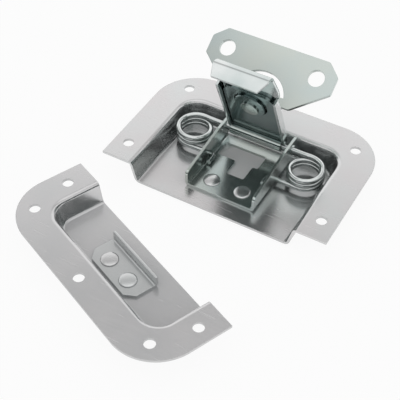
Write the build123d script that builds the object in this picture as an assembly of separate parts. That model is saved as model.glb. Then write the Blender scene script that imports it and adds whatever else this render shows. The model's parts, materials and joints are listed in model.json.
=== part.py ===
"""Recessed butterfly case latch: a sprung draw-hook half and its keeper half, in zinc-plated steel.

Frame: millimetres, x to the right, y from the parting line back over the latch half, z out of
the case.  The origin is the middle of the latch half's parting edge, on the panel face (z = 0),
where the undersides of both flanges lie.  The keeper half lies in front, turned by KEEPER_YAW; one
turn about an upright line to the left of both brings the two parting edges together.
"""
import os
from math import cos, radians, sin, sqrt

from build123d import *

os.makedirs("parts", exist_ok=True)

# ---------------------------------------------------------------- pressed dishes
WIDTH = 112.0            # both halves, side to side
LATCH_REACH = 69.2       # parting edge to the far edge of the latch half
KEEPER_REACH = 42.2      # the same on the keeper half
SHEET = 1.2              # both dishes
FLANGE_CORNER = 22.0
RECESS_WIDTH = 81.2      # opening between the side flanges
RECESS_DEPTH = 10.0      # flange face to floor
LATCH_RECESS = 52.5      # parting edge to the back of the opening
KEEPER_RECESS = 26.6
RECESS_CORNER = 9.0
WALL_DRAFT = 15.0        # degrees
FLOOR_BEND = 1.6         # inside radii of the pressing
RIM_BEND = 1.0
KEEPER_YAW = 23.8        # degrees the loose keeper is turned, its left end nearer the latch
KEEPER_X = -8.9          # middle of its parting edge
CORNER_GAP = 11.7        # its nearest corner to the latch half's parting line

# ---------------------------------------------------------------- fixing holes
HOLE_DIAMETER = 5.0
FRONT_HOLE_SHARE = 0.5325    # of the side flange's width, from the opening
REAR_HOLE_INSET = 12.1       # from the side edge
LATCH_FRONT_HOLES = 10.6     # each row, from the parting edge
LATCH_REAR_HOLES = 57.7
LATCH_MIDDLE_HOLE = 62.3
KEEPER_FRONT_HOLES = 10.9
KEEPER_REAR_HOLES = 30.5
KEEPER_MIDDLE_HOLE = 35.3

# ---------------------------------------------------------------- base bracket
BRACKET_SHEET = 1.3
BRACKET_WIDTH = 35.2         # over the ears
BRACKET_BEND = 1.0           # inside radius
BRACKET_FRONT = 8.7
BRACKET_PLATE_END = 46.0
EAR_FRONT_HEIGHT = 8.0       # above the dish floor
EAR_HEIGHT = 11.5
EAR_SLOPE_END = 38.5
EAR_END = 50.6
EAR_NOSE = 1.8
WINDOW_FRONT = 23.3
WINDOW_STEP = 32.6
WINDOW_BACK = 41.6
WINDOW_STEM = 8.8
WINDOW_LEFT = 14.4
WINDOW_RIGHT = 7.0
WINDOW_CORNER = 1.1
RIVETS_APART = 15.6
BASE_RIVETS = 16.0

# ---------------------------------------------------------------- spring wire
WIRE = 2.3
AXLE_Y = 44.6
AXLE_Z = 0.2
COIL_EAR_GAP = 2.55          # bracket's ear to the coil
COIL_WALL_GAP = 2.95         # coil to the rim of the recess
COIL_TURNS = 2.5
COIL_PITCH = 2.37
WIRE_TAIL_BEND = 2.4
WIRE_TAIL = 3.2
WIRE_PLAY = 0.1              # round the wire in its holes and slots
AXLE_TRAVEL = 3.0            # the spring gives this much when the hook draws tight

# ---------------------------------------------------------------- hook, in its own frame
HOOK_LEAN = 20.5             # degrees the open hook leans forward of upright
HOOK_SHEET = 1.3
HOOK_WIDTH = 29.2
HOOK_REACH = 55.3            # axle to the outside of the lip
HOOK_BACK = 4.15             # axle to the outer face of the web
HOOK_BEND = 1.2              # inside radius between web and flanges
HOOK_FLANGE_TOP = 38.5
HOOK_FLANGE_GAP = 0.5        # between the wire and the flange ends
FLANGE_DEPTH_LOW = 5.0
FLANGE_DEPTH_HIGH = 6.0
LIP_DEPTH = 6.4              # lip edge below the axle's level
LIP_BEND = 3.3
LIP_WIDTH_BACK = 26.8
LIP_WIDTH_EDGE = 21.8
RELIEF_CORNER = 2.0

# ---------------------------------------------------------------- draw link and cam
LINK_SHEET = 1.5
LINK_WIDTH = 25.8
LINK_SIDE_CORNER = 6.0
CAM_THROW = 1.6              # the hook draws by twice this
CAM_RADIUS = 6.2
CAM_COLLAR_RADIUS = 7.5
CAM_COLLAR = 1.1
CAM_PLAY = 0.38              # cam in the link's slot, along the pull
SLIDE_PLAY = 0.1             # between faces that slide on each other
SPINDLE_REACH = 25.7         # axle to spindle
SPINDLE_RADIUS = 3.0
SPINDLE_RIVET_RADIUS = 4.2
SPINDLE_RIVET = 0.7
SPINDLE_SHOULDER_RADIUS = 5.6
SPINDLE_SHOULDER = 0.9
EYE_LIFT = 3.45              # outer face of the web to the handle's pivot
EYE_WIDTH = 8.4
EYE_RADIUS = 3.3
PIN_PLAY = 0.08              # radial, spindle in the web and handle strap in the eye

# ---------------------------------------------------------------- butterfly handle
HANDLE_SHEET = 2.0
HANDLE_SPAN = 61.8
HANDLE_HEIGHT = 26.3
HANDLE_TOP_EDGE = 50.2
HANDLE_SHOULDER = 5.3        # top edge to the start of the end edges
HANDLE_END_EDGE = 8.6
HANDLE_FOOT_EDGE = 32.0
HANDLE_CORNER = 1.2
STRAP = 4.0                  # bar between the big hole and the foot edge
PADLOCK_HOLES_APART = 44.1
PADLOCK_HOLE_DROP = 8.9
PADLOCK_HOLE = 7.7
CENTRE_ARCH = 12.6           # radius of the arch over the strap
ARCH_DROP = 1.5              # its centre below the middle of the strap
HANDLE_TILT = 13.5           # degrees past square to the hook, towards the lip

# ---------------------------------------------------------------- strike and rivets
STRIKE_WIDTH = 31.8
STRIKE_FACE = 7.5            # parting edge to the near face of the upstand
STRIKE_END = 22.4
STRIKE_HEIGHT = 5.7          # above the dish floor
STRIKE_SHEET = 1.3
STRIKE_BEND = 0.8
STRIKE_CHAMFER = 4.0
STRIKE_RIVET_INSET = 8.9     # from the ends of the strike
KEEPER_RIVETS = 16.6
RIVET_HEAD_RADIUS = 4.0
RIVET_HEAD = 0.8
RIVET_SHANK = 2.4
RIVET_EDGE = 0.45

# ---------------------------------------------------------------- derived places
FLOOR_Z = SHEET - RECESS_DEPTH
UNDERSIDE_Z = FLOOR_Z - SHEET
BRACKET_TOP_Z = FLOOR_Z + BRACKET_SHEET
FRONT_HOLES_APART = RECESS_WIDTH + FRONT_HOLE_SHARE * (WIDTH - RECESS_WIDTH)
REAR_HOLES_APART = WIDTH - 2 * REAR_HOLE_INSET
KEEPER_Y = -WIDTH / 2 * sin(radians(KEEPER_YAW)) - CORNER_GAP
KEEPER_RIVETS_APART = STRIKE_WIDTH - 2 * STRIKE_RIVET_INSET
CAM_REACH = SPINDLE_REACH + CAM_THROW
LINK_OUTER_RADIUS = WIRE / 2 + WIRE_PLAY + LINK_SHEET
WEB_INNER = HOOK_BACK - HOOK_SHEET
COIL_INNER_SIDE = BRACKET_WIDTH / 2 + COIL_EAR_GAP
COIL_OUTER_SIDE = RECESS_WIDTH / 2 - COIL_WALL_GAP
COIL_CENTRE = (COIL_INNER_SIDE + COIL_OUTER_SIDE) / 2
COIL_MEAN = COIL_OUTER_SIDE - COIL_INNER_SIDE - WIRE
ARM_Y = AXLE_Y - COIL_MEAN
ARM_Z = AXLE_Z - COIL_PITCH * COIL_TURNS
EYE_HEIGHT = HOOK_BACK + EYE_LIFT

# The hook's own frame: x across, y from the axle to the lip, z from the axle out through the web.
HOOK_FRAME = Plane(
    origin=(0, AXLE_Y, AXLE_Z),
    x_dir=(-1, 0, 0),
    z_dir=(0, cos(radians(HOOK_LEAN)), sin(radians(HOOK_LEAN))),
)
# Side views are drawn looking along -x: sketch x is y, sketch y is z.
SIDE = Plane(origin=(0, 0, 0), x_dir=(0, 1, 0), z_dir=(1, 0, 0))


def block(x0, x1, y0, y1, z0, z1):
    """A box between two corners."""
    return Pos(x0, y0, z0) * Box(x1 - x0, y1 - y0, z1 - z0, align=(Align.MIN, Align.MIN, Align.MIN))


def post(radius, x, y, z0, z1):
    """An upright cylinder."""
    return Pos(x, y, z0) * Cylinder(radius, z1 - z0, align=(Align.CENTER, Align.CENTER, Align.MIN))


def across(sketch, width):
    """A side view given its width, centred on x = 0."""
    return extrude(SIDE * sketch, width / 2, both=True)


def far_corners(sketch):
    """The vertices of a sketch on its far (+y) side."""
    return sketch.vertices().group_by(Axis.Y)[-1]


# ---------------------------------------------------------------- pressed dishes
def rounded_at_back(width, front, back, radius):
    """A rectangle from front to back with its two back corners rounded."""
    sketch = Pos(0, (front + back) / 2) * Rectangle(width, back - front)
    return fillet(far_corners(sketch), radius)


def pressed_dish(reach, recess_reach, hole_rows, middle_hole):
    """A flanged dish, open at the parting edge (y = 0), where its cut edge shows the joggle."""
    run_out = 3 * RECESS_DEPTH
    flange = extrude(rounded_at_back(WIDTH, -run_out, reach, FLANGE_CORNER), SHEET)
    opening = rounded_at_back(RECESS_WIDTH, -2 * run_out, recess_reach, RECESS_CORNER)
    shell = rounded_at_back(
        RECESS_WIDTH + 2 * SHEET, -2 * run_out, recess_reach + SHEET, RECESS_CORNER + SHEET
    )
    down = (0, 0, -1)
    hollow = extrude(Pos(0, 0, SHEET) * opening, RECESS_DEPTH, dir=down, taper=WALL_DRAFT)
    outside = extrude(Pos(0, 0, SHEET) * shell, RECESS_DEPTH + SHEET, dir=down, taper=WALL_DRAFT)
    hollow = fillet(hollow.faces().sort_by(Axis.Z)[0].edges(), FLOOR_BEND)
    outside = fillet(outside.faces().sort_by(Axis.Z)[0].edges(), FLOOR_BEND + SHEET)
    dish = flange + outside - hollow
    inside_flange = RECESS_WIDTH / 2 + SHEET / 2
    rim = [
        edge
        for edge in dish.edges().filter_by_position(Axis.Z, SHEET, SHEET)
        if edge.bounding_box().max.X < inside_flange
        and edge.bounding_box().min.X > -inside_flange
        and edge.bounding_box().max.Y < recess_reach + SHEET / 2
    ]
    dish = fillet(rim, RIM_BEND + SHEET)
    dish -= block(-WIDTH, WIDTH, -3 * run_out, 0, UNDERSIDE_Z - SHEET, 2 * SHEET)
    holes = [(side * apart / 2, row) for apart, row in hole_rows for side in (-1, 1)]
    for x, y in holes + [(0, middle_hole)]:
        dish -= post(HOLE_DIAMETER / 2, x, y, -SHEET, 2 * SHEET)
    return dish


def latch_dish():
    """The larger half, with the holes of the base rivets in its floor."""
    rows = [(FRONT_HOLES_APART, LATCH_FRONT_HOLES), (REAR_HOLES_APART, LATCH_REAR_HOLES)]
    dish = pressed_dish(LATCH_REACH, LATCH_RECESS, rows, LATCH_MIDDLE_HOLE)
    for side in (-1, 1):
        dish -= post(RIVET_SHANK, side * RIVETS_APART / 2, BASE_RIVETS, UNDERSIDE_Z, FLOOR_Z)
    return dish


def onto_keeper(shape):
    """Turns a shape drawn behind a parting edge at y = 0 to face the latch half, askew."""
    return Pos(KEEPER_X, KEEPER_Y, 0) * Rot(0, 0, -KEEPER_YAW) * mirror(shape, Plane.XZ)


def keeper_dish():
    """The shallower half, with the holes of the strike's rivets in its floor."""
    rows = [(FRONT_HOLES_APART, KEEPER_FRONT_HOLES), (REAR_HOLES_APART, KEEPER_REAR_HOLES)]
    dish = pressed_dish(KEEPER_REACH, KEEPER_RECESS, rows, KEEPER_MIDDLE_HOLE)
    for side in (-1, 1):
        dish -= post(RIVET_SHANK, side * KEEPER_RIVETS_APART / 2, KEEPER_RIVETS, UNDERSIDE_Z, FLOOR_Z)
    return onto_keeper(dish)


# ---------------------------------------------------------------- rivets, bracket and strike
def rivet(x, y, top):
    """A set rivet: low heads above the riveted plate and under the dish, and the shank between."""
    head = post(RIVET_HEAD_RADIUS, x, y, top, top + RIVET_HEAD)
    head = chamfer(head.edges().group_by(Axis.Z)[-1], RIVET_EDGE)
    tail = post(RIVET_HEAD_RADIUS, x, y, UNDERSIDE_Z - RIVET_HEAD, UNDERSIDE_Z)
    tail = chamfer(tail.edges().group_by(Axis.Z)[0], RIVET_EDGE)
    return head + tail + post(RIVET_SHANK, x, y, UNDERSIDE_Z, top)


def channel(width, height, sheet, bend, length):
    """A folded U along +y from y = 0, its base on z = 0, centred on x = 0."""
    outer = Pos(0, height / 2) * Rectangle(width, height)
    outer = fillet(outer.vertices().group_by(Axis.Y)[0], bend + sheet)
    inner = Pos(0, sheet + height / 2) * Rectangle(width - 2 * sheet, height)
    inner = fillet(inner.vertices().group_by(Axis.Y)[0], bend)
    # The section is drawn in x and z and pushed along y.
    section = Plane(origin=(0, 0, 0), x_dir=(1, 0, 0), z_dir=(0, -1, 0))
    return extrude(section * (outer - inner), -length)


def base_bracket():
    """The riveted channel whose ears hold the spring: sloping ears, T-shaped window in its plate."""
    folded = channel(BRACKET_WIDTH, EAR_HEIGHT, BRACKET_SHEET, BRACKET_BEND, EAR_END)
    ear_top = FLOOR_Z + EAR_HEIGHT
    outline = make_face(
        Polyline(
            (BRACKET_FRONT, FLOOR_Z),
            (BRACKET_FRONT, FLOOR_Z + EAR_FRONT_HEIGHT),
            (EAR_SLOPE_END, ear_top),
            (EAR_END, ear_top),
            (BRACKET_PLATE_END, FLOOR_Z),
            close=True,
        )
    )
    nose = outline.vertices().sort_by(Axis.X)[0:2].sort_by(Axis.Y)[-1]
    outline = fillet(nose, EAR_NOSE)
    bracket = (Pos(0, 0, FLOOR_Z) * folded) & across(outline, BRACKET_WIDTH)

    slot_half = WIRE / 2 + WIRE_PLAY
    slot_front = AXLE_Y - AXLE_TRAVEL
    slot = Pos(slot_front, AXLE_Z) * Circle(slot_half)
    slot += Pos((slot_front + EAR_END) / 2 + WIRE, AXLE_Z) * Rectangle(
        EAR_END - slot_front + 2 * WIRE, 2 * slot_half
    )
    arm_hole = Pos(ARM_Y, ARM_Z) * Circle(slot_half)
    bracket -= across(slot, 2 * BRACKET_WIDTH)
    bracket -= across(arm_hole, 2 * BRACKET_WIDTH)

    window = make_face(
        Polyline(
            (-WINDOW_STEM / 2, WINDOW_FRONT),
            (WINDOW_STEM / 2, WINDOW_FRONT),
            (WINDOW_STEM / 2, WINDOW_STEP),
            (WINDOW_RIGHT, WINDOW_STEP),
            (WINDOW_RIGHT, WINDOW_BACK),
            (-WINDOW_LEFT, WINDOW_BACK),
            (-WINDOW_LEFT, WINDOW_STEP),
            (-WINDOW_STEM / 2, WINDOW_STEP),
            close=True,
        )
    )
    window = extrude(Pos(0, 0, FLOOR_Z) * window, BRACKET_SHEET)
    bracket -= fillet(window.edges().filter_by(Axis.Z), WINDOW_CORNER)
    for side in (-1, 1):
        bracket -= post(RIVET_SHANK, side * RIVETS_APART / 2, BASE_RIVETS, FLOOR_Z, BRACKET_TOP_Z)
    return bracket


def strike_plate():
    """The folded catch in the keeper: a plate on the floor and an upstand for the hook's lip."""
    top = FLOOR_Z + STRIKE_SHEET
    plate = block(-STRIKE_WIDTH / 2, STRIKE_WIDTH / 2, STRIKE_FACE, STRIKE_END, FLOOR_Z, top)
    corners = plate.edges().filter_by(Axis.Z).group_by(Axis.Y)[-1]
    plate = chamfer(corners, STRIKE_CHAMFER)
    upstand = block(
        -STRIKE_WIDTH / 2,
        STRIKE_WIDTH / 2,
        STRIKE_FACE,
        STRIKE_FACE + STRIKE_SHEET,
        FLOOR_Z,
        FLOOR_Z + STRIKE_HEIGHT,
    )
    upstand = fillet(upstand.edges().filter_by(Axis.X).group_by(Axis.Z)[-1], STRIKE_SHEET / 3)
    strike = plate + upstand
    inner_fold = strike.edges().filter_by(Axis.X).sort_by_distance((0, STRIKE_FACE + STRIKE_SHEET, top))[0]
    strike = fillet(inner_fold, STRIKE_BEND)
    outer_fold = strike.edges().filter_by(Axis.X).sort_by_distance((0, STRIKE_FACE, FLOOR_Z))[0]
    strike = fillet(outer_fold, STRIKE_BEND + STRIKE_SHEET)
    for side in (-1, 1):
        strike -= post(RIVET_SHANK, side * KEEPER_RIVETS_APART / 2, KEEPER_RIVETS, FLOOR_Z, top)
    return onto_keeper(strike)


# ---------------------------------------------------------------- spring wire
def spring_wire():
    """One wire: hooked tail, arm, coil, the axle across the ears, and the same again."""
    radius = COIL_MEAN / 2
    drop = COIL_PITCH * COIL_TURNS
    quarter_turn = 90 - 360 * COIL_TURNS
    coil = Helix(COIL_PITCH, drop, radius)
    coil = Pos(COIL_CENTRE, AXLE_Y - radius, AXLE_Z - drop) * Rot(0, 0, quarter_turn) * coil
    axle = Line((0, AXLE_Y, AXLE_Z), (COIL_CENTRE, AXLE_Y, AXLE_Z))
    inside = BRACKET_WIDTH / 2 - BRACKET_SHEET - WIRE
    arm = FilletPolyline(
        (COIL_CENTRE, ARM_Y, ARM_Z),
        (inside, ARM_Y, ARM_Z),
        (inside, ARM_Y - WIRE_TAIL_BEND - WIRE_TAIL, ARM_Z),
        radius=WIRE_TAIL_BEND,
    )
    path = Wire([*axle.edges(), *coil.edges(), *arm.edges()])
    section = Plane(origin=(0, AXLE_Y, AXLE_Z), z_dir=(1, 0, 0)) * Circle(WIRE / 2)
    half = sweep(section, path=path, transition=Transition.TRANSFORMED)
    return half + mirror(half, Plane.YZ)


# ---------------------------------------------------------------- hook, drawn in its own frame
def hook_plate():
    """A folded channel with its lip bent over at the top; relief notches part lip and flanges."""
    lip_outer = LIP_BEND + HOOK_SHEET
    foot = WIRE / 2 + HOOK_FLANGE_GAP
    half = HOOK_WIDTH / 2

    # Web and lip: the side view of the bent strip, cut to the outline of the front view.
    strip = make_face(
        Polyline(
            (foot, WEB_INNER),
            (foot, HOOK_BACK),
            (HOOK_REACH, HOOK_BACK),
            (HOOK_REACH, -LIP_DEPTH),
            (HOOK_REACH - HOOK_SHEET, -LIP_DEPTH),
            (HOOK_REACH - HOOK_SHEET, WEB_INNER),
            close=True,
        )
    )
    outer_corner = strip.vertices().sort_by_distance((HOOK_REACH, HOOK_BACK))[0]
    strip = fillet(outer_corner, lip_outer)
    inner_corner = strip.vertices().sort_by_distance((HOOK_REACH - HOOK_SHEET, WEB_INNER))[0]
    strip = fillet(inner_corner, LIP_BEND)
    web = across(strip, HOOK_WIDTH)

    # Seen along the hook, the lip narrows to its edge; seen on the web, it is stepped in.
    taper = make_face(
        Polyline(
            (-half, HOOK_BACK),
            (half, HOOK_BACK),
            (half, WEB_INNER - HOOK_SHEET),
            (LIP_WIDTH_BACK / 2, WEB_INNER - LIP_BEND),
            (LIP_WIDTH_EDGE / 2, -LIP_DEPTH),
            (-LIP_WIDTH_EDGE / 2, -LIP_DEPTH),
            (-LIP_WIDTH_BACK / 2, WEB_INNER - LIP_BEND),
            (-half, WEB_INNER - HOOK_SHEET),
            close=True,
        )
    )
    along = Plane(origin=(0, 0, 0), x_dir=(1, 0, 0), z_dir=(0, -1, 0))
    web = web & extrude(along * taper, -HOOK_REACH - HOOK_SHEET)
    front = make_face(
        Polyline(
            (-half, 0),
            (half, 0),
            (half, HOOK_FLANGE_TOP + lip_outer),
            (LIP_WIDTH_BACK / 2, HOOK_REACH - lip_outer),
            (LIP_WIDTH_BACK / 2, HOOK_REACH),
            (-LIP_WIDTH_BACK / 2, HOOK_REACH),
            (-LIP_WIDTH_BACK / 2, HOOK_REACH - lip_outer),
            (-half, HOOK_FLANGE_TOP + lip_outer),
            close=True,
        )
    )
    web = web & extrude(Pos(0, 0, -HOOK_REACH) * front, 2 * HOOK_REACH)

    # The two flanges, rounded at the foot and deeper towards the top.
    flange_outline = make_face(
        Polyline(
            (foot, HOOK_BACK),
            (HOOK_FLANGE_TOP, HOOK_BACK),
            (HOOK_FLANGE_TOP, HOOK_BACK - FLANGE_DEPTH_HIGH),
            (foot, HOOK_BACK - FLANGE_DEPTH_LOW),
            close=True,
        )
    )
    feet = flange_outline.vertices().group_by(Axis.X)[0]
    flange_outline = fillet(feet.sort_by(Axis.Y)[0], FLANGE_DEPTH_LOW / 2)
    tops = flange_outline.vertices().group_by(Axis.X)[-1]
    flange_outline = fillet(tops.sort_by(Axis.Y)[0], RELIEF_CORNER / 2)
    flanges = across(flange_outline, HOOK_WIDTH)
    flanges -= block(
        -half + HOOK_SHEET, half - HOOK_SHEET, 0, 2 * HOOK_REACH, -2 * HOOK_BACK, 2 * HOOK_BACK
    )
    hook = web + flanges
    corners = [
        edge
        for edge in hook.edges().filter_by(Axis.Y)
        if abs(edge.center().Z - HOOK_BACK) < WIRE_PLAY and abs(edge.center().X) > half - WIRE_PLAY
    ]
    hook = fillet(corners, HOOK_BEND)
    hook -= post(SPINDLE_RADIUS + PIN_PLAY, 0, SPINDLE_REACH, WEB_INNER - HOOK_SHEET, 2 * HOOK_BACK)
    return hook


def draw_link():
    """The plate between axle and cam: rolled round the axle, with a cross slot for the cam."""
    bore = WIRE / 2 + WIRE_PLAY
    plate_bottom = LINK_OUTER_RADIUS - LINK_SHEET
    slot_half = CAM_RADIUS + CAM_PLAY
    end = CAM_REACH + slot_half + LINK_SHEET * 2
    flat = Pos(end / 2, plate_bottom + LINK_SHEET / 2) * Rectangle(end, LINK_SHEET)
    section = Circle(LINK_OUTER_RADIUS) + flat - Circle(bore)
    outline = Pos(0, (end - LINK_OUTER_RADIUS) / 2) * Rectangle(LINK_WIDTH, end + LINK_OUTER_RADIUS)
    outline = fillet(far_corners(outline), LINK_SIDE_CORNER)
    outline = extrude(Pos(0, 0, -LINK_OUTER_RADIUS) * outline, 2 * LINK_OUTER_RADIUS)
    link = across(section, LINK_WIDTH) & outline
    slot = SlotOverall(2 * (slot_half + CAM_THROW), 2 * slot_half)
    link -= extrude(Pos(0, CAM_REACH, plate_bottom) * slot, LINK_SHEET)
    return link


def cam_disc():
    """The eccentric: a disc that turns in the link's slot and a collar that keeps the link on."""
    disc_top = WEB_INNER - SLIDE_PLAY / 2
    disc_bottom = LINK_OUTER_RADIUS - LINK_SHEET - SLIDE_PLAY / 2
    cam = post(CAM_RADIUS, 0, CAM_REACH, disc_bottom, disc_top)
    collar = post(CAM_COLLAR_RADIUS, 0, CAM_REACH, disc_bottom - CAM_COLLAR, disc_bottom)
    collar = chamfer(collar.edges().group_by(Axis.Z)[0], CAM_COLLAR / 4)
    bore = post(SPINDLE_RADIUS, 0, SPINDLE_REACH, disc_bottom - CAM_COLLAR, disc_top)
    return cam + collar - bore


def spindle():
    """The turned stud through web and cam: riveted over inside, with the handle's eye outside."""
    inner_end = LINK_OUTER_RADIUS - LINK_SHEET - SLIDE_PLAY / 2 - CAM_COLLAR
    seat = HOOK_BACK + SLIDE_PLAY
    stud = post(SPINDLE_RADIUS, 0, SPINDLE_REACH, inner_end, seat)
    stud += post(SPINDLE_RIVET_RADIUS, 0, SPINDLE_REACH, inner_end - SPINDLE_RIVET, inner_end)
    stud += post(SPINDLE_SHOULDER_RADIUS, 0, SPINDLE_REACH, seat, seat + SPINDLE_SHOULDER)
    eye = Pos(SPINDLE_REACH, EYE_HEIGHT) * Circle(EYE_RADIUS)
    eye += Pos(SPINDLE_REACH, (seat + EYE_HEIGHT) / 2) * Rectangle(2 * EYE_RADIUS, EYE_HEIGHT - seat)
    strap_sweep = sqrt(STRAP**2 + HANDLE_SHEET**2) / 2 + PIN_PLAY
    eye -= Pos(SPINDLE_REACH, EYE_HEIGHT) * Circle(strap_sweep)
    return stud + across(eye, EYE_WIDTH)


def handle_plate():
    """The butterfly handle: a flat plate with two padlock holes and a strap held in the eye."""
    pivot = HANDLE_HEIGHT - STRAP / 2
    outline = make_face(
        Polyline(
            (-HANDLE_TOP_EDGE / 2, pivot),
            (HANDLE_TOP_EDGE / 2, pivot),
            (HANDLE_SPAN / 2, pivot - HANDLE_SHOULDER),
            (HANDLE_SPAN / 2, pivot - HANDLE_SHOULDER - HANDLE_END_EDGE),
            (HANDLE_FOOT_EDGE / 2, -STRAP / 2),
            (-HANDLE_FOOT_EDGE / 2, -STRAP / 2),
            (-HANDLE_SPAN / 2, pivot - HANDLE_SHOULDER - HANDLE_END_EDGE),
            (-HANDLE_SPAN / 2, pivot - HANDLE_SHOULDER),
            close=True,
        )
    )
    outline = fillet(outline.vertices(), HANDLE_CORNER)
    arch = Pos(0, -ARCH_DROP) * Circle(CENTRE_ARCH)
    arch &= Pos(0, STRAP / 2 + CENTRE_ARCH) * Rectangle(3 * CENTRE_ARCH, 2 * CENTRE_ARCH)
    arch = fillet(arch.vertices(), HANDLE_CORNER)
    outline -= arch
    for side in (-1, 1):
        hole = Circle(PADLOCK_HOLE / 2)
        outline -= Pos(side * PADLOCK_HOLES_APART / 2, pivot - PADLOCK_HOLE_DROP) * hole
    plate = extrude(outline, HANDLE_SHEET / 2, both=True)
    stand = Pos(0, SPINDLE_REACH, EYE_HEIGHT) * Rot(90 - HANDLE_TILT, 0, 0)
    return stand * plate


def in_hook_frame(shape):
    """Stands a shape drawn in the hook's frame at the axle, leaning as the open hook does."""
    return HOOK_FRAME.location * shape


def build_parts():
    """Every piece by its node name."""
    return {
        "latch_dish": latch_dish(),
        "base_bracket": base_bracket(),
        "base_rivet_left": rivet(-RIVETS_APART / 2, BASE_RIVETS, BRACKET_TOP_Z),
        "base_rivet_right": rivet(RIVETS_APART / 2, BASE_RIVETS, BRACKET_TOP_Z),
        "spring_wire": spring_wire(),
        "draw_link": in_hook_frame(draw_link()),
        "hook_plate": in_hook_frame(hook_plate()),
        "cam_disc": in_hook_frame(cam_disc()),
        "spindle": in_hook_frame(spindle()),
        "handle_plate": in_hook_frame(handle_plate()),
        "keeper_dish": keeper_dish(),
        "strike_plate": strike_plate(),
        "keeper_rivet_left": onto_keeper(rivet(-KEEPER_RIVETS_APART / 2, KEEPER_RIVETS, BRACKET_TOP_Z)),
        "keeper_rivet_right": onto_keeper(rivet(KEEPER_RIVETS_APART / 2, KEEPER_RIVETS, BRACKET_TOP_Z)),
    }


for name, piece in build_parts().items():
    export_step(piece, f"parts/{name}.step")
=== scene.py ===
"""Recessed butterfly case latch, dressed: zinc-plated pressings, sprung wire, rivets and studio.

Laid out as a Blender add-on and run as a script.  Metres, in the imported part's own frame.
"""
import json
from math import cos, hypot, pi, radians, sin
from typing import NamedTuple

import bpy
from bpy.props import FloatProperty, FloatVectorProperty, IntProperty, PointerProperty
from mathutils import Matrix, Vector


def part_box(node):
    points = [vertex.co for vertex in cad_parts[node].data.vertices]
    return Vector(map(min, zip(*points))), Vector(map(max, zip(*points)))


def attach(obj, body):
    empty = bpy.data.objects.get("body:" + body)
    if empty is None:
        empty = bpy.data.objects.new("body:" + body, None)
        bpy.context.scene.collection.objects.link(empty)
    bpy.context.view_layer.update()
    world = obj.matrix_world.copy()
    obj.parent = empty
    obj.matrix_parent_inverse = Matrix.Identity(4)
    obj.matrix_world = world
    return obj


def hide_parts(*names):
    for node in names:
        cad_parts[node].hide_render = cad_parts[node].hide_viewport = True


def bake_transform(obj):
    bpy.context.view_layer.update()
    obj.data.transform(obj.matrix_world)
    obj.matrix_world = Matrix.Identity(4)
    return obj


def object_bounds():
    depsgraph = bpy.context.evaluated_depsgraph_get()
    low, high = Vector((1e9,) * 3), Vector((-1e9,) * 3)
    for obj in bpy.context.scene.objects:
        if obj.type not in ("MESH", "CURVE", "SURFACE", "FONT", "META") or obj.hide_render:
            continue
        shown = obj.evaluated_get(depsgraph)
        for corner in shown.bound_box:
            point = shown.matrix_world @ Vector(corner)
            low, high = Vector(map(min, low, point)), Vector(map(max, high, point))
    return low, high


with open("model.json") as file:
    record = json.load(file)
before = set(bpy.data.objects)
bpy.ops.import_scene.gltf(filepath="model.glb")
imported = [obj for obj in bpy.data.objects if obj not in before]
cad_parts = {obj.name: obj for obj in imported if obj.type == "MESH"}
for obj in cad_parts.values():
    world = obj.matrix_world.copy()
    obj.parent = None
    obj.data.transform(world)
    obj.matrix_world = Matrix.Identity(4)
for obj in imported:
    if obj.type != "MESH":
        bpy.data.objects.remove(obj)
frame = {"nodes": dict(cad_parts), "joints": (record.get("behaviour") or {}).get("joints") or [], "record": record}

bl_info = {
    "name": "Butterfly case latch",
    "version": (1, 0, 0),
    "blender": (4, 5, 0),
    "location": "3D View > Sidebar > Latch",
    "description": "Dresses a recessed butterfly case latch in zinc plate and sets up its studio",
    "category": "Object",
}

MM = 0.001
NODES = frame["nodes"]
BODY_OF = {
    node: body
    for body, members in frame["record"]["behaviour"]["bodies"].items()
    for node in members
}
CAD_LOW, CAD_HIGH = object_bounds()

# ---------------------------------------------------------------- the part's sizes, in millimetres
# The spring wire's route.
AXLE = (44.6, 0.2)                  # its Y and Z
AXLE_POINTS = (0.0, 8.0, 16.0, 22.0, 26.0)
COIL_MEAN_RADIUS = 7.6
COIL_CENTRE = 28.9                  # its X
COIL_TURNS = 2.5
COIL_STEPS = 12                     # points in each turn
COIL_PITCH = 2.37
ARM_POINTS = (25.5, 22.0, 18.0)
TAIL_X = 14.0
TAIL_BEND = 2.4
TAIL_TIP = 5.6
TAIL_END_ROUNDING = 0.3
WIRE_ORDER = 4                      # order of the curve, which rounds the route's corners
WIRE_STEPS = 5                      # from one point to the next
WIRE_ROUNDNESS = 4                  # gives its section 12 sides
LINK_EYE = 3.2                      # outer radius of the link's rolled end

# The hook: along it from the axle, and out from the axle through its web.
HOOK_LEAN = 20.5                    # degrees
HOOK_SHEET = 1.3
HOOK_HALF = 14.6                    # half its width
HOOK_FOOT = 1.65                    # where it starts along
HOOK_REACH = 55.3                   # and where it ends
HOOK_BACK = 4.15                    # how far out the back of its web is
HOOK_CORNER = 0.9                   # radius of its folds, in the middle of the sheet
FOLD_ANGLES = (0, 22.5, 45, 67.5, 90)
FLANGE_DEPTHS = (4.4, 5.2)          # at the foot and at the notches
NOTCH = 38.5                        # where the flanges end
NOTCH_SLOPE = 0.3
SHOULDER = 43.1                     # where the web starts to narrow
LIP_BEND = 4.6                      # outer radius of the lip's roll
LIP_STEPS = 12
LIP_DEPTH = 6.4                     # how far its edge comes back past the axle's line
LIP_HALVES = (13.1, 10.9)           # half widths at the roll and at the edge
SPINDLE = (25.7, 3.08)              # along the hook, and its hole's radius

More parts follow.
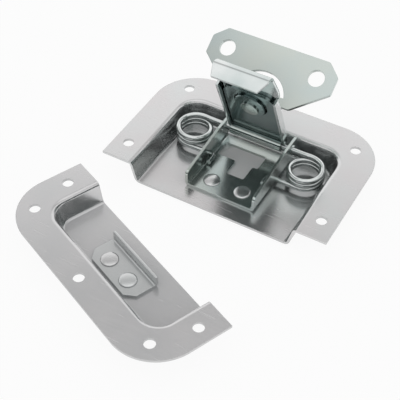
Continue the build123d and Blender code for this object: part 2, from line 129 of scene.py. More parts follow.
# The handle's outline in its own plane, from the middle of its strap.
HANDLE_CORNERS = ((25.1, 24.3), (30.9, 19.0), (30.9, 10.4), (16.0, -2.0))
HANDLE_CORNER_CUT = 0.6             # what a rounded corner takes off both its sides
HANDLE_THICKNESS = 2.0
HANDLE_TURN = 34.0                  # degrees
PADLOCK_HOLE = (22.05, 15.4, 3.85)  # X, Y and radius
ARCH_RADIUS = 12.6
ARCH_CENTRE = -1.5
ARCH_CORNER_CUT = 1.2
STRAP_TOP = 2.0

# A rivet's head: steps over its dome as shares of radius and dome, then over its rim.
RIVETS = ("base_rivet_left", "base_rivet_right", "keeper_rivet_left", "keeper_rivet_right")
RIVET_HEAD = 0.8
RIVET_SHANK = 2.4                   # radius
RIVET_RIM = 0.28
RIVET_DOME_STEPS = ((0.0, 0.0), (0.45, 0.15), (0.78, 0.75))
RIVET_RIM_STEPS = ((1.0, 0.3), (0.3, 0.9))
RIVET_SIDE = 0.05                   # straight side above the seat

# ---------------------------------------------------------------- modelling
SAME_PLACE = 0.001 * MM             # corners closer than this are one
NEAR = 0.05 * MM
PUNCH_LENGTH = 4                    # in thicknesses of what it goes through
PUNCH_SIDES = 64
ARCH_SIDES = 128
SHARP_EDGE = 50                     # degrees; edges of the sheets that turn further are rounded
SHARP_RIM = 70                      # degrees; and so are the rims of the wire's ends
SMOOTH_EDGE = 38                    # degrees; edges that turn less shade smooth

# ---------------------------------------------------------------- finish
# Noises: scale, detail and roughness.  Grain and scratches have their scales in their runs.
CLOUD = (38.0, 3.0, 0.55)
GRAIN = (1.0, 4.0, 0.6)
SPECKLE = (2600.0, 2.0, 0.5)
SCRATCH = (1.0, 1.0, 0.5)
NOISE_MIDDLE = 0.5

# Runs: scales along X, Y and Z.
LONG_RUN = (90, 700, 700)           # rolled lengthwise
CROSS_RUN = (900, 110, 900)         # rolled crosswise
EVEN_RUN = (300, 300, 300)
SCRATCH_RUN = (60, 2200, 700)
SCRATCH_TURN = (0.4, 0.3, 0.9)      # radians

# Curves: position and level.
CLOUD_CURVE = ((0.36, 0.0), (0.64, 1.0))
SCRATCH_CURVE = ((0.68, 0.0), (0.74, 1.0))
HIGHLIGHT_PATCH_CURVE = ((0.0, 0.0), (0.25, 1.0))

# What grain and scratches do to colour, roughness and relief.
RUBBED = (0.86, 0.88, 0.88)         # where handling has polished the plate
GRAIN_POLISH = 0.25
SCRATCH_POLISH = 0.10
SCRATCH_ROUGHNESS = 0.06
LEAST_ROUGHNESS = 0.08
GRAIN_RELIEF = 0.6
SPECKLE_RELIEF = 0.2
SCRATCH_RELIEF = 0.5
RELIEF_DEPTH = 0.03                 # millimetres
RELIEF_STRENGTH = 0.013

# Painted shade: where ambient occlusion finds other surfaces near, in folds, hollows and between parts, the
# plate's colour darkens towards this.
CREVICE_PAINTED_SHADE = (0.035, 0.055, 0.055)
PAINTED_SHADE_REACH = 25.0                # millimetres

# Painted highlight: a patch on the dish's floor under the bracket's window, in millimetres, made less metallic and
# kept free of the painted shade so that it shows lighter.
HIGHLIGHT_PATCH_MIDDLE = (0.0, 33.0, -10.0)
HIGHLIGHT_PATCH_REACH = (18.0, 17.0, 5.0)

# ---------------------------------------------------------------- studio, in metres
WHITE = (1, 1, 1, 1)
FLOOR_SIZE = 8
FLOOR_GAP = 0.05                    # millimetres, under the part's lowest face
FLOOR_GLOW = 0.93
CLOTH_RADII = (0.19, 1.1)
CLOTH_TOP = 0.60
CLOTH_START = 75                    # the bearing from which it hangs clockwise
CLOTH_SWEEP = 270
CLOTH_STEPS = 72
FILL_LEVEL = 0.55
SKY_CURVE = ((0.67, 1.0), (0.77, 0.50), (0.84, 0.50), (0.90, 1.0))  # height, and brightness
LAMPS = (                           # name, place, turn in degrees, size, power
    ("overhead", (-0.1, 0.15, 1.2), (-7, -5, 0), 1.3, 1.6),
    ("back_left", (-0.8, 0.75, 0.95), (-48, 0, 47), 0.9, 0.4),
)
CAMERA_PLACE = (0.14658, -0.26339, 0.31391)
CAMERA_DOWN = 0.8089                # radians below level
CAMERA_ROUND = 0.5217               # radians round from the front
CAMERA_SENSOR = 36                  # millimetres
CAMERA_LENS = 89.556                # millimetres
CAMERA_NEAR = 0.01


# ---------------------------------------------------------------- sizes and colours
class LatchSizes(bpy.types.PropertyGroup):
    """Small sizes of the finish, on top of the part's own."""

    sheet_edge: FloatProperty(
        name="Sheet edge rounding",
        description="Radius that tumbling leaves on the cut edges of the pressings",
        default=0.22 * MM,
        unit="LENGTH",
    )
    handle_edge: FloatProperty(
        name="Handle edge rounding",
        description="Radius on the edges of the butterfly handle",
        default=0.32 * MM,
        unit="LENGTH",
    )
    wire: FloatProperty(
        name="Spring wire",
        description="Diameter of the spring wire",
        default=2.4 * MM,
        unit="LENGTH",
    )
    rivet_dome: FloatProperty(
        name="Rivet dome",
        description="How far a rivet's head rises from its rim to its middle",
        default=0.3 * MM,
        unit="LENGTH",
    )
    rivet_sides: IntProperty(
        name="Rivet sides",
        description="Faces round a rivet's head",
        default=48,
    )


class LatchColours(bpy.types.PropertyGroup):
    """Colours of the zinc plate and of the studio."""

    cool: FloatVectorProperty(
        name="Cool zinc",
        description="Blue-green cast of the clear passivated plate",
        subtype="COLOR",
        default=(0.76, 0.775, 0.775),
    )
    bright: FloatVectorProperty(
        name="Bright zinc",
        description="Plate on the bracket, hook and handle",
        subtype="COLOR",
        default=(0.56, 0.63, 0.62),
    )
    straw: FloatVectorProperty(
        name="Straw zinc",
        description="Yellowish bloom on the bright plate",
        subtype="COLOR",
        default=(0.64, 0.665, 0.61),
    )
    # Painted shade: a darker copy of the bright plate, for the link and the cam that sit in the hook's shade.
    inner: FloatVectorProperty(
        name="Inner zinc",
        description="Darker plate on the link and the cam inside the hook",
        subtype="COLOR",
        default=(0.22, 0.29, 0.285),
    )
    warm: FloatVectorProperty(
        name="Warm zinc",
        description="Rosy cast where the passivate is thin",
        subtype="COLOR",
        default=(0.77, 0.745, 0.75),
    )
    dusky: FloatVectorProperty(
        name="Dusky zinc",
        description="Greyer plate on the keeper's dish and strike",
        subtype="COLOR",
        default=(0.69, 0.69, 0.695),
    )
    wire: FloatVectorProperty(
        name="Wire zinc",
        description="Plate on the drawn wire, and the hook's lighter cloud",
        subtype="COLOR",
        default=(0.80, 0.825, 0.82),
    )
    floor: FloatVectorProperty(
        name="Floor",
        description="The studio's floor and backdrop",
        subtype="COLOR",
        default=(0.97, 0.97, 0.97),
    )
    cloth: FloatVectorProperty(
        name="Dark cloth",
        description="The cloth round the table that the metal mirrors",
        subtype="COLOR",
        default=(0.030, 0.048, 0.046),
    )


# ---------------------------------------------------------------- shader arithmetic
class Amount:
    """A number in a material; arithmetic on it adds Math nodes."""

    def __init__(self, recipe, socket):
        self.recipe = recipe
        self.socket = socket

    def worked(self, operation, first, second):
        return self.recipe.add("ShaderNodeMath", {"operation": operation}, {0: first, 1: second})

    def __add__(self, other):
        return self.worked("ADD", self, other)

    __radd__ = __add__

    def __sub__(self, other):
        return self.worked("SUBTRACT", self, other)

    def __rsub__(self, other):
        return self.worked("SUBTRACT", other, self)

    def __mul__(self, other):
        return self.worked("MULTIPLY", self, other)

    __rmul__ = __mul__

    def at_least(self, other):
        return self.worked("MAXIMUM", self, other)


class Recipe:
    """The nodes of one material or world."""

    def __init__(self, tree):
        self.tree = tree
        self.tree.nodes.clear()

    def add(self, kind, settings=(), inputs=(), output=0):
        """Adds a node, with its settings first, then the values or links of its sockets."""
        node = self.tree.nodes.new(kind)
        for name, value in dict(settings).items():
            setattr(node, name, value)
        for name, value in dict(inputs).items():
            if isinstance(value, Amount):
                self.tree.links.new(value.socket, node.inputs[name])
            else:
                node.inputs[name].default_value = value
        return Amount(self, node.outputs[output]) if node.outputs else None

    def colour_mix(self, share, first, second):
        """One colour passing into another, by the Mix node's sockets for colours."""
        inputs = {0: share, 6: first, 7: second}
        return self.add("ShaderNodeMix", {"data_type": "RGBA"}, inputs, output=2)

    def noise(self, place, scale, detail, roughness):
        """Cloudy noise from 0 to 1."""
        inputs = {"Vector": place, "Scale": scale, "Detail": detail, "Roughness": roughness}
        return self.add("ShaderNodeTexNoise", {}, inputs)

    def mapped(self, place, **inputs):
        """A place stretched, turned or shifted."""
        return self.add("ShaderNodeMapping", {}, {"Vector": place, **inputs})

    def ramp(self, amount, stops):
        """An amount read off a curve of (position, level) stops."""
        read = self.add("ShaderNodeValToRGB", {}, {"Fac": amount})
        elements = read.socket.node.color_ramp.elements
        for place, (position, level) in enumerate(stops):
            if place > 1:
                elements.new(position)
            elements[place].position = position
            elements[place].color = (level, level, level, 1)
        return read

    def glow(self, kind, colour, strength=1.0):
        """Even light from a surface or from the world."""
        return self.add(kind, {}, {"Color": colour, "Strength": strength})

    def shader_mix(self, share, first, second):
        """One shader passing into another."""
        return self.add("ShaderNodeMixShader", {}, {0: share, 1: first, 2: second})


def polar(radius, degrees):
    """A place on the table by its distance and bearing."""
    return radius * cos(radians(degrees)), radius * sin(radians(degrees))


def opaque(colour):
    """A property's colour with its alpha."""
    return (*colour, 1)


def new_recipe(name):
    """A fresh material and its recipe."""
    material = bpy.data.materials.new(name)
    material.use_nodes = True
    return material, Recipe(material.node_tree)


class Finish(NamedTuple):
    """How one kind of plate looks."""

    base: str               # two of the scene's colours, between which the cast drifts
    cast: str
    roughness: float
    cloudiness: float       # how far the drift goes
    grain: float            # how much the roughness wanders
    run: tuple              # which way the grain runs
    dullness: float         # how far painted shade darkens the colour in folds, hollows and between parts
    metallic: float
    milkiness: float = 0.0  # how far the painted highlight under the bracket's window goes


FINISHES = {
    "zinc_satin": Finish("cool", "warm", 0.22, 0.9, 0.04, LONG_RUN, 0.42, 0.88),
    "zinc_dish": Finish("cool", "warm", 0.22, 0.9, 0.04, LONG_RUN, 0.58, 0.90, 1.0),
    "zinc_keeper": Finish("dusky", "warm", 0.22, 0.4, 0.04, LONG_RUN, 0.50, 0.90),
    "zinc_strike": Finish("cool", "dusky", 0.20, 0.6, 0.08, EVEN_RUN, 0.35, 1.0),
    "zinc_bracket": Finish("bright", "straw", 0.20, 0.6, 0.06, CROSS_RUN, 0.05, 0.92),
    "zinc_bright": Finish("bright", "straw", 0.12, 0.6, 0.06, CROSS_RUN, 0.40, 1.0),
    "zinc_hook": Finish("bright", "wire", 0.12, 1.0, 0.06, CROSS_RUN, 0.40, 1.0),
    # Painted shade: the darker copy of the bright plate.
    "zinc_inner_shaded": Finish("inner", "bright", 0.16, 0.3, 0.08, CROSS_RUN, 0.60, 1.0),
    "zinc_wire": Finish("wire", "bright", 0.15, 0.5, 0.05, EVEN_RUN, 0.50, 1.0),
}


def painted_highlight_patch(recipe, place):
    """Painted highlight mask: 1 on the dish's floor under the bracket's window, 0 away from it."""
    scale = [1 / (size * MM) for size in HIGHLIGHT_PATCH_REACH]
    shift = [-at / size for at, size in zip(HIGHLIGHT_PATCH_MIDDLE, HIGHLIGHT_PATCH_REACH)]
    local = recipe.mapped(place, Location=shift, Scale=scale)
    near = recipe.add("ShaderNodeTexGradient", {"gradient_type": "SPHERICAL"}, {0: local}, output=1)
    return recipe.ramp(near, HIGHLIGHT_PATCH_CURVE)


def zinc_plate(name, finish):
    """Zinc plate on steel: drifting cast, rolled grain, faint scratches, rounded sheet edges, painted shade in
    folds and hollows, and where asked a painted highlight patch.
    """
    material, recipe = new_recipe(name)
    colours = bpy.context.scene.latch_colours
    place = recipe.add("ShaderNodeTexCoord", output="Object")
    cloud = recipe.noise(place, *CLOUD)
    rolled = recipe.noise(recipe.mapped(place, Scale=finish.run), *GRAIN)
    speckle = recipe.noise(place, *SPECKLE)
    streaks = recipe.mapped(place, Rotation=SCRATCH_TURN, Scale=SCRATCH_RUN)
    scratches = recipe.ramp(recipe.noise(streaks, *SCRATCH), SCRATCH_CURVE)
    drift = recipe.ramp(cloud, CLOUD_CURVE) * finish.cloudiness
    ends = [opaque(getattr(colours, colour)) for colour in (finish.base, finish.cast)]
    polish = (rolled - NOISE_MIDDLE) * GRAIN_POLISH + scratches * SCRATCH_POLISH
    plate = recipe.colour_mix(polish, recipe.colour_mix(drift, *ends), opaque(RUBBED))
    # Painted shade: ambient occlusion darkens the colour in folds, hollows and between parts.
    openness = recipe.add(
        "ShaderNodeAmbientOcclusion", {"samples": 8}, {"Distance": PAINTED_SHADE_REACH * MM}, output=1
    )
    # Painted highlight: the patch under the bracket's window is spared the painted shade and made less metallic.
    highlight_share = painted_highlight_patch(recipe, place) * finish.milkiness if finish.milkiness else 0.0
    painted_shade_share = (1 - openness) * finish.dullness * (1 - highlight_share)
    wander = (cloud - NOISE_MIDDLE) * finish.grain + (rolled - NOISE_MIDDLE) * finish.grain
    rough = finish.roughness + wander + scratches * SCRATCH_ROUGHNESS
    height = rolled * GRAIN_RELIEF + speckle * SPECKLE_RELIEF - scratches * SCRATCH_RELIEF
    edge = bpy.context.scene.latch_sizes.sheet_edge
    rounded = recipe.add("ShaderNodeBevel", {"samples": 6}, {"Radius": edge})
    relief = recipe.add(
        "ShaderNodeBump",
        {},
        {
            "Strength": RELIEF_STRENGTH,
            "Distance": RELIEF_DEPTH * MM,
            "Height": height,
            "Normal": rounded,
        },
    )
    surface = recipe.add(
        "ShaderNodeBsdfPrincipled",
        {},
        {
            # Painted shade: the colour turns towards the crevice colour where the parts close in.
            "Base Color": recipe.colour_mix(painted_shade_share, plate, opaque(CREVICE_PAINTED_SHADE)),
            "Metallic": finish.metallic * (1 - highlight_share),
            "Roughness": rough.at_least(LEAST_ROUGHNESS),
            "Normal": relief,
        },
    )
    recipe.add("ShaderNodeOutputMaterial", {}, {"Surface": surface})
    return material


def finish_named(kind):
    """The detailed material of one finish, made once."""
    name = f"{kind}_plated"
    return bpy.data.materials.get(name) or zinc_plate(name, FINISHES[kind])


# ---------------------------------------------------------------- modelling helpers
def only(piece):
    """Selects one object and nothing else."""
    bpy.ops.object.select_all(action="DESELECT")
    piece.select_set(True)
    bpy.context.view_layer.objects.active = piece


def dress(piece, slot, finish=None):
    """Gives a piece the finish of the record's slot, or a closer one."""
    piece.data.materials.clear()
    piece.data.materials.append(finish_named(finish or slot))


def add_modifier(piece, kind, **settings):
    """Adds a modifier and applies it."""
    only(piece)
    modifier = piece.modifiers.new(kind.title(), kind)
    for name, value in settings.items():
        setattr(modifier, name, value)
    bpy.ops.object.modifier_apply(modifier=modifier.name)


def round_edges(piece, width, segments, sharper=SHARP_EDGE):
    """Rounds the edges that turn further than an angle in degrees."""
    add_modifier(
        piece,
        "BEVEL",
        width=width,
        segments=segments,
        limit_method="ANGLE",
        angle_limit=radians(sharper),
    )


def settle_normals(piece):
    """Flat faces shade flat and rounded edges shade round."""
    only(piece)
    bpy.ops.object.shade_smooth_by_angle(angle=radians(SMOOTH_EDGE))
    add_modifier(piece, "WEIGHTED_NORMAL", keep_sharp=True, weight=100)


def dress_node(node, kind):
    """Gives a CAD node whose shape is right its finish."""
    NODES[node].data.materials.clear()
    NODES[node].data.materials.append(finish_named(kind))


def punch(radius, thickness, place, sides=PUNCH_SIDES, turn=(0, 0, 0)):
    """A round punch for a plate of some thickness, in millimetres."""
    bpy.ops.object.select_all(action="DESELECT")
    bpy.ops.mesh.primitive_cylinder_add(
        vertices=sides,
        radius=radius * MM,
        depth=PUNCH_LENGTH * thickness * MM,
        location=[size * MM for size in place],
        rotation=turn,
    )
    bpy.ops.object.transform_apply(location=True, rotation=True, scale=True)
    return bpy.context.active_object


def cut(piece, cutter):
    """Takes a cutter's shape out of a piece and throws the cutter away."""
    add_modifier(piece, "BOOLEAN", operation="DIFFERENCE", solver="EXACT", object=cutter)
    only(cutter)
    bpy.ops.object.delete()


def select_edges(piece, wanted):
    """In edit mode, selects the edges whose two ends satisfy a test."""
    bpy.ops.mesh.select_mode(type="EDGE")
    bpy.ops.mesh.select_all(action="DESELECT")
    bpy.ops.object.mode_set(mode="OBJECT")
    for edge in piece.data.edges:
        ends = [piece.data.vertices[end].co for end in edge.vertices]
        edge.select = wanted(*ends)
    bpy.ops.object.mode_set(mode="EDIT")


# ---------------------------------------------------------------- pieces
class LATCH_OT_pressed_dishes(bpy.types.Operator):
    """Plates the two pressed dishes and the strike"""

    bl_idname = "latch.pressed_dishes"
    bl_label = "Pressed dishes"

    def execute(self, context):
        dress_node("latch_dish", "zinc_dish")
        dress_node("keeper_dish", "zinc_keeper")
        dress_node("strike_plate", "zinc_strike")
        return {"FINISHED"}


class LATCH_OT_mechanism(bpy.types.Operator):
    """Plates the bracket, and the link, cam and spindle of the eccentric"""

    bl_idname = "latch.mechanism"
    bl_label = "Bracket and eccentric"

    def execute(self, context):
        dress_node("base_bracket", "zinc_bracket")
        dress_node("spindle", "zinc_bright")
        # Painted shade: the link and the cam take the darker copy of the bright plate.
        for node in ("draw_link", "cam_disc"):
            dress_node(node, "zinc_inner_shaded")
        self.brighten_eye(NODES["draw_link"].data)
        return {"FINISHED"}

    def brighten_eye(self, link):
        """The link's rolled eye keeps the bright plate, free of the painted shade on the rest of the link, so its
        highlight shows.
        """
        link.materials.append(finish_named("zinc_bright"))
        for face in link.polygons:
            across = hypot(face.center.y - AXLE[0] * MM, face.center.z - AXLE[1] * MM)
            face.material_index = 1 if across < LINK_EYE * MM else 0


class LATCH_OT_hook(bpy.types.Operator):
    """Folds the hook from sheet: web, two flanges, notches and the rolled lip"""

    bl_idname = "latch.hook"
    bl_label = "Hook"

    def execute(self, context):
        rows = self.channel_rows() + self.lip_rows()
        columns = len(rows[0])
        bpy.ops.object.select_all(action="DESELECT")
        bpy.ops.mesh.primitive_grid_add(x_subdivisions=columns - 1, y_subdivisions=len(rows) - 1)
        hook = context.active_object
        hook.name = "hook_folded"
        places = [place for row in rows for place in row]
        for vertex, place in zip(hook.data.vertices, places):
            vertex.co = [size * MM for size in place]
        self.trim_flanges(hook)
        add_modifier(hook, "SOLIDIFY", thickness=HOOK_SHEET * MM, offset=0)
        along, radius = SPINDLE
        cut(hook, punch(radius, HOOK_BACK, (0, 0, along), turn=(pi / 2, 0, 0)))
        round_edges(hook, context.scene.latch_sizes.sheet_edge, segments=2)
        hook.rotation_euler = (radians(HOOK_LEAN), 0, 0)
        hook.location = (0, AXLE[0] * MM, AXLE[1] * MM)
        only(hook)
        bpy.ops.object.transform_apply(location=True, rotation=True, scale=True)
        settle_normals(hook)
        dress(hook, "zinc_bright", "zinc_hook")
        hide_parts("hook_plate")
        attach(hook, BODY_OF["hook_plate"])
        return {"FINISHED"}

    def channel_rows(self):
        """The web with its two flanges, at the foot and at the notches."""
        out = HOOK_BACK - HOOK_SHEET / 2
        side = HOOK_HALF - HOOK_SHEET / 2
        rows = []
        for along, depth in zip((HOOK_FOOT, NOTCH), FLANGE_DEPTHS):
            half = [(side, HOOK_BACK - depth)]
            for degrees in FOLD_ANGLES:
                across = side - HOOK_CORNER * (1 - cos(radians(degrees)))
                half.append((across, out - HOOK_CORNER * (1 - sin(radians(degrees)))))
            left = [(-x, y, along) for x, y in half]
            right = [(x, y, along) for x, y in reversed(half)]
            rows.append([*left, (0, out, along), *right])
        return rows

    def lip_rows(self):
        """The web above the notches, the roll of the lip and its edge."""
        out = HOOK_BACK - HOOK_SHEET / 2
        bend = LIP_BEND - HOOK_SHEET / 2
        turn = HOOK_REACH - LIP_BEND
        wide, narrow = LIP_HALVES
        stations = [(HOOK_HALF, out, NOTCH + NOTCH_SLOPE), (HOOK_HALF, out, SHOULDER)]
        for step in range(LIP_STEPS + 1):
            angle = pi / 2 * step / LIP_STEPS
            stations.append((wide, out - bend * (1 - cos(angle)), turn + bend * sin(angle)))
        stations.append((narrow, -LIP_DEPTH, HOOK_REACH - HOOK_SHEET / 2))
        folded = 1 + len(FOLD_ANGLES)
        return [
            [*[(-half, y, along)] * folded, (0, y, along), *[(half, y, along)] * folded]
            for half, y, along in stations
        ]

    def trim_flanges(self, hook):
        """Takes away the flanges above the notches."""
        only(hook)
        bpy.ops.object.mode_set(mode="EDIT")
        bpy.ops.mesh.select_all(action="SELECT")
        bpy.ops.mesh.dissolve_degenerate(threshold=SAME_PLACE)
        bpy.ops.mesh.select_mode(type="FACE")
        bpy.ops.mesh.select_all(action="DESELECT")
        bpy.ops.object.mode_set(mode="OBJECT")
        edge = (HOOK_HALF - HOOK_SHEET / 2 - HOOK_CORNER) * MM
        for face in hook.data.polygons:
            face.select = face.center.z > NOTCH * MM and abs(face.center.x) > edge
        bpy.ops.object.mode_set(mode="EDIT")
        bpy.ops.mesh.delete(type="FACE")
        bpy.ops.mesh.select_all(action="SELECT")
        bpy.ops.mesh.delete_loose()
        bpy.ops.mesh.select_all(action="SELECT")
        bpy.ops.mesh.normals_make_consistent(inside=False)
        bpy.ops.object.mode_set(mode="OBJECT")


class LATCH_OT_handle(bpy.types.Operator):
    """Blanks the butterfly handle: outline, padlock holes, arch over the strap, rounded edges"""

    bl_idname = "latch.handle"
    bl_label = "Butterfly handle"

    def execute(self, context):
        bpy.ops.object.select_all(action="DESELECT")
        left = [(-x, y) for x, y in reversed(HANDLE_CORNERS)]
        corners = [*HANDLE_CORNERS, *left]
        bpy.ops.mesh.primitive_circle_add(vertices=len(corners), fill_type="NGON")
        handle = context.active_object
        handle.name = "handle_blanked"
        for vertex, (x, y) in zip(handle.data.vertices, corners):
            vertex.co = (x * MM, y * MM, -HANDLE_THICKNESS / 2 * MM)
        only(handle)
        bpy.ops.object.mode_set(mode="EDIT")
        bpy.ops.mesh.select_all(action="SELECT")
        bpy.ops.mesh.bevel(offset=HANDLE_CORNER_CUT * MM, segments=4, affect="VERTICES")
        bpy.ops.mesh.select_all(action="SELECT")
        bpy.ops.mesh.extrude_region_move(
            TRANSFORM_OT_translate={"value": (0, 0, HANDLE_THICKNESS * MM)}
        )
        bpy.ops.mesh.select_all(action="SELECT")
        bpy.ops.mesh.normals_make_consistent(inside=False)
        bpy.ops.object.mode_set(mode="OBJECT")
        x, y, radius = PADLOCK_HOLE
        for side in (-1, 1):
            cut(handle, punch(radius, HANDLE_THICKNESS, (side * x, y, 0)))
        cut(handle, self.arch_punch())
        round_edges(handle, context.scene.latch_sizes.handle_edge, segments=3)
        pivot = next(joint for joint in frame["joints"] if joint["name"] == "handle_flip")["pos_m"]
        handle.rotation_euler = (radians(HANDLE_TURN), 0, 0)
        handle.location = pivot
        only(handle)
        bpy.ops.object.transform_apply(location=True, rotation=True, scale=True)
        settle_normals(handle)
        dress(handle, "zinc_bright")
        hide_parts("handle_plate")
        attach(handle, "handle")
        return {"FINISHED"}

    def arch_punch(self):
        """The big round punch, cut off straight along the strap, its two corners rounded."""
        arch = punch(ARCH_RADIUS, HANDLE_THICKNESS, (0, ARCH_CENTRE, 0), ARCH_SIDES)
        only(arch)
        bpy.ops.object.mode_set(mode="EDIT")
        bpy.ops.mesh.select_all(action="SELECT")
        bpy.ops.mesh.bisect(
            plane_co=(0, STRAP_TOP * MM, 0), plane_no=(0, 1, 0), use_fill=True, clear_inner=True
        )
        select_edges(
            arch,
            lambda a, b: abs(a.z - b.z) > NEAR and max(a.y, b.y) < STRAP_TOP * MM + NEAR,
        )
        bpy.ops.mesh.bevel(offset=ARCH_CORNER_CUT * MM, segments=5, affect="EDGES")
        bpy.ops.object.mode_set(mode="OBJECT")
        return arch


def spring_route():
    """Points from the left tail's tip over the axle to the right tail's tip.

    The wire runs a little inside its points, so those of the coils stand out by as much.
    """
    radius = COIL_MEAN_RADIUS * 3 / (2 + cos(2 * pi / COIL_STEPS))
    half = [(x, *AXLE) for x in AXLE_POINTS]
    count = int(COIL_STEPS * COIL_TURNS)
    for step in range(count + 1):
        angle = 2 * pi * step / COIL_STEPS
        turns = step / COIL_STEPS
        y = AXLE[0] - COIL_MEAN_RADIUS + radius * cos(angle)
        half.append((COIL_CENTRE + radius * sin(angle), y, AXLE[1] - COIL_PITCH * turns))
    arm_y, arm_z = half[-1][1:]
    arm_y += radius - COIL_MEAN_RADIUS
    half += [(x, arm_y, arm_z) for x in (*ARM_POINTS, TAIL_X + TAIL_BEND, TAIL_X)]
    half += [(TAIL_X, arm_y - TAIL_BEND, arm_z), (TAIL_X, arm_y - TAIL_TIP, arm_z)]
    return [(-x, y, z) for x, y, z in reversed(half)] + half[1:]


class LATCH_OT_spring(bpy.types.Operator):
    """Bends the spring wire: tails, arms, coils and axle in one"""

    bl_idname = "latch.spring"
    bl_label = "Spring wire"

    def execute(self, context):
        bpy.ops.object.select_all(action="DESELECT")
        bpy.ops.curve.primitive_nurbs_path_add()
        wire = context.active_object
        wire.name = "spring_wire_bent"
        route = spring_route()
        spline = wire.data.splines[0]
        spline.points.add(len(route) - len(spline.points))
        for point, place in zip(spline.points, route):
            point.co = (*[size * MM for size in place], 1)
        spline.order_u = WIRE_ORDER
        spline.use_endpoint_u = True
        spline.resolution_u = WIRE_STEPS
        wire.data.bevel_depth = context.scene.latch_sizes.wire / 2
        wire.data.bevel_resolution = WIRE_ROUNDNESS
        wire.data.use_fill_caps = True
        only(wire)
        bpy.ops.object.convert(target="MESH")
        wire = context.active_object
        bpy.ops.object.mode_set(mode="EDIT")
        bpy.ops.mesh.select_all(action="SELECT")
        bpy.ops.mesh.remove_doubles(threshold=SAME_PLACE)
        bpy.ops.mesh.normals_make_consistent(inside=False)
        bpy.ops.object.mode_set(mode="OBJECT")
        round_edges(wire, TAIL_END_ROUNDING * MM, segments=2, sharper=SHARP_RIM)
        settle_normals(wire)
        dress(wire, "zinc_wire")
        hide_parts("spring_wire")
        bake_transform(wire)
        return {"FINISHED"}


class LATCH_OT_rivets(bpy.types.Operator):
    """Sets the four rivets, with low domed heads"""

    bl_idname = "latch.rivets"
    bl_label = "Rivets"

    def execute(self, context):
        for node in RIVETS:
            self.set_rivet(context, node)
        return {"FINISHED"}

    def set_rivet(self, context, node):
        sizes = context.scene.latch_sizes
        low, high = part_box(node)
        middle = (low + high) / 2
        radius = (high.x - low.x) / 2
        rim = RIVET_RIM * MM
        seat = high.z - RIVET_HEAD * MM
        dome = sizes.rivet_dome if node.startswith("base") else sizes.rivet_dome / 2
        upper = [(radius * out, high.z - dome * drop) for out, drop in RIVET_DOME_STEPS]
        upper += [
            (radius - rim * inset, high.z - dome - rim * drop) for inset, drop in RIVET_RIM_STEPS
        ]
        upper += [(radius, seat + RIVET_SIDE * MM), (radius, seat), (RIVET_SHANK * MM, seat)]
        lower = [(across, low.z + high.z - z) for across, z in reversed(upper)]
        profile = upper + lower
        mesh = bpy.data.meshes.new(f"{node}_set")
        corners = [(middle.x + across, middle.y, z) for across, z in profile]
        mesh.from_pydata(corners, [(i, i + 1) for i in range(len(corners) - 1)], [])
        rivet = bpy.data.objects.new(f"{node}_set", mesh)
        context.scene.collection.objects.link(rivet)
        only(rivet)
        bpy.ops.object.mode_set(mode="EDIT")
        bpy.ops.mesh.select_all(action="SELECT")
        bpy.ops.mesh.spin(
            steps=sizes.rivet_sides, angle=2 * pi, center=(middle.x, middle.y, 0), axis=(0, 0, 1)
        )
        bpy.ops.mesh.select_all(action="SELECT")
        bpy.ops.mesh.remove_doubles(threshold=SAME_PLACE)
        bpy.ops.mesh.normals_make_consistent(inside=False)
        bpy.ops.object.mode_set(mode="OBJECT")
        settle_normals(rivet)
        dress(rivet, "zinc_satin")
        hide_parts(node)
        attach(rivet, BODY_OF[node])


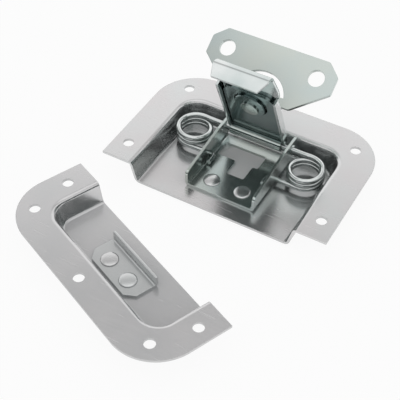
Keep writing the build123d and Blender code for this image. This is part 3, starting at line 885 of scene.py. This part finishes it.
# ---------------------------------------------------------------- studio
class LATCH_OT_studio(bpy.types.Operator):
    """Lays the floor, hangs the dark cloth that the metal mirrors, lights it and sets the camera"""

    bl_idname = "latch.studio"
    bl_label = "Studio"

    def execute(self, context):
        colours = context.scene.latch_colours
        self.lay_floor(context, colours)
        self.hang_cloth(context, colours)
        self.light(context)
        self.set_camera(context)
        context.scene.view_settings.view_transform = "Standard"
        return {"FINISHED"}

    def seen(self, recipe):
        """1 on the rays that the camera and the metal see by, 0 on those that light things."""
        camera = recipe.add("ShaderNodeLightPath", output="Is Camera Ray")
        glossy = recipe.add("ShaderNodeLightPath", output="Is Glossy Ray")
        through = recipe.add("ShaderNodeLightPath", output="Is Transmission Ray")
        return camera.at_least(glossy).at_least(through)

    def lay_floor(self, context, colours):
        bpy.ops.object.select_all(action="DESELECT")
        bpy.ops.mesh.primitive_plane_add(
            size=FLOOR_SIZE, location=(0, 0, CAD_LOW.z - FLOOR_GAP * MM)
        )
        floor = context.active_object
        floor.name = "studio_floor"
        material, recipe = new_recipe("studio_floor")
        matt = recipe.add("ShaderNodeBsdfDiffuse", {}, {"Color": opaque(colours.floor)})
        white = recipe.glow("ShaderNodeEmission", WHITE)
        mixed = recipe.shader_mix(self.seen(recipe) * FLOOR_GLOW, matt, white)
        recipe.add("ShaderNodeOutputMaterial", {}, {"Surface": mixed})
        floor.data.materials.append(material)

    def hang_cloth(self, context, colours):
        bpy.ops.object.select_all(action="DESELECT")
        mesh = bpy.data.meshes.new("studio_cloth")
        near, far = [polar(radius, CLOTH_START) for radius in CLOTH_RADII]
        mesh.from_pydata([(*near, 0.0), (*far, CLOTH_TOP)], [(0, 1)], [])
        cloth = bpy.data.objects.new("studio_cloth", mesh)
        context.scene.collection.objects.link(cloth)
        only(cloth)
        bpy.ops.object.mode_set(mode="EDIT")
        bpy.ops.mesh.select_all(action="SELECT")
        bpy.ops.mesh.spin(
            steps=CLOTH_STEPS, angle=radians(CLOTH_SWEEP), center=(0, 0, 0), axis=(0, 0, 1)
        )
        bpy.ops.object.mode_set(mode="OBJECT")
        material, recipe = new_recipe("studio_cloth")
        dark = recipe.glow("ShaderNodeEmission", opaque(colours.cloth))
        recipe.add("ShaderNodeOutputMaterial", {}, {"Surface": dark})
        cloth.data.materials.append(material)
        cloth.visible_camera = False
        cloth.visible_diffuse = False
        cloth.visible_transmission = False
        cloth.visible_shadow = False

    def light(self, context):
        world = context.scene.world or bpy.data.worlds.new("studio")
        context.scene.world = world
        world.use_nodes = True
        recipe = Recipe(world.node_tree)
        seen = self.seen(recipe)
        fill = recipe.glow("ShaderNodeBackground", WHITE, FILL_LEVEL)
        white = recipe.glow("ShaderNodeBackground", WHITE)
        way = recipe.add("ShaderNodeTexCoord", output="Generated")
        height = recipe.add("ShaderNodeSeparateXYZ", {}, {0: way}, output=2)
        mirrored = recipe.glow("ShaderNodeBackground", recipe.ramp(height, SKY_CURVE))
        glossy = recipe.add("ShaderNodeLightPath", output="Is Glossy Ray")
        pale = recipe.shader_mix(glossy, white, mirrored)
        mixed = recipe.shader_mix(seen, fill, pale)
        recipe.add("ShaderNodeOutputWorld", {}, {"Surface": mixed})
        for name, place, turn, size, power in LAMPS:
            bpy.ops.object.select_all(action="DESELECT")
            bpy.ops.object.light_add(
                type="AREA", location=place, rotation=[radians(angle) for angle in turn]
            )
            lamp = context.active_object
            lamp.name = f"studio_{name}"
            lamp.data.shape = "SQUARE"
            lamp.data.size = size
            lamp.data.energy = power
            lamp.visible_glossy = False

    def set_camera(self, context):
        bpy.ops.object.select_all(action="DESELECT")
        bpy.ops.object.camera_add(
            location=CAMERA_PLACE, rotation=(pi / 2 - CAMERA_DOWN, 0, CAMERA_ROUND)
        )
        camera = context.active_object
        camera.name = "studio_camera"
        camera.data.sensor_width = CAMERA_SENSOR
        camera.data.lens = CAMERA_LENS
        camera.data.clip_start = CAMERA_NEAR
        context.scene.camera = camera


# ---------------------------------------------------------------- panel
OPERATORS = (
    LATCH_OT_pressed_dishes,
    LATCH_OT_mechanism,
    LATCH_OT_hook,
    LATCH_OT_handle,
    LATCH_OT_spring,
    LATCH_OT_rivets,
    LATCH_OT_studio,
)


class LATCH_PT_panel(bpy.types.Panel):
    """Lists the latch's sizes, colours and pieces"""

    bl_idname = "LATCH_PT_panel"
    bl_label = "Butterfly case latch"
    bl_space_type = "VIEW_3D"
    bl_region_type = "UI"
    bl_category = "Latch"

    def draw(self, context):
        for group in (context.scene.latch_sizes, context.scene.latch_colours):
            for name in group.bl_rna.properties.keys():
                if name not in ("rna_type", "name"):
                    self.layout.prop(group, name)
        for operator in OPERATORS:
            self.layout.operator(operator.bl_idname)


CLASSES = (LatchSizes, LatchColours, *OPERATORS, LATCH_PT_panel)


def register():
    for made in CLASSES:
        bpy.utils.register_class(made)
    bpy.types.Scene.latch_sizes = PointerProperty(type=LatchSizes)
    bpy.types.Scene.latch_colours = PointerProperty(type=LatchColours)


def unregister():
    del bpy.types.Scene.latch_colours
    del bpy.types.Scene.latch_sizes
    for made in reversed(CLASSES):
        bpy.utils.unregister_class(made)


def main():
    register()
    for operator in OPERATORS:
        area, name = operator.bl_idname.split(".")
        getattr(getattr(bpy.ops, area), name)()


if __name__ == "__main__":
    main()
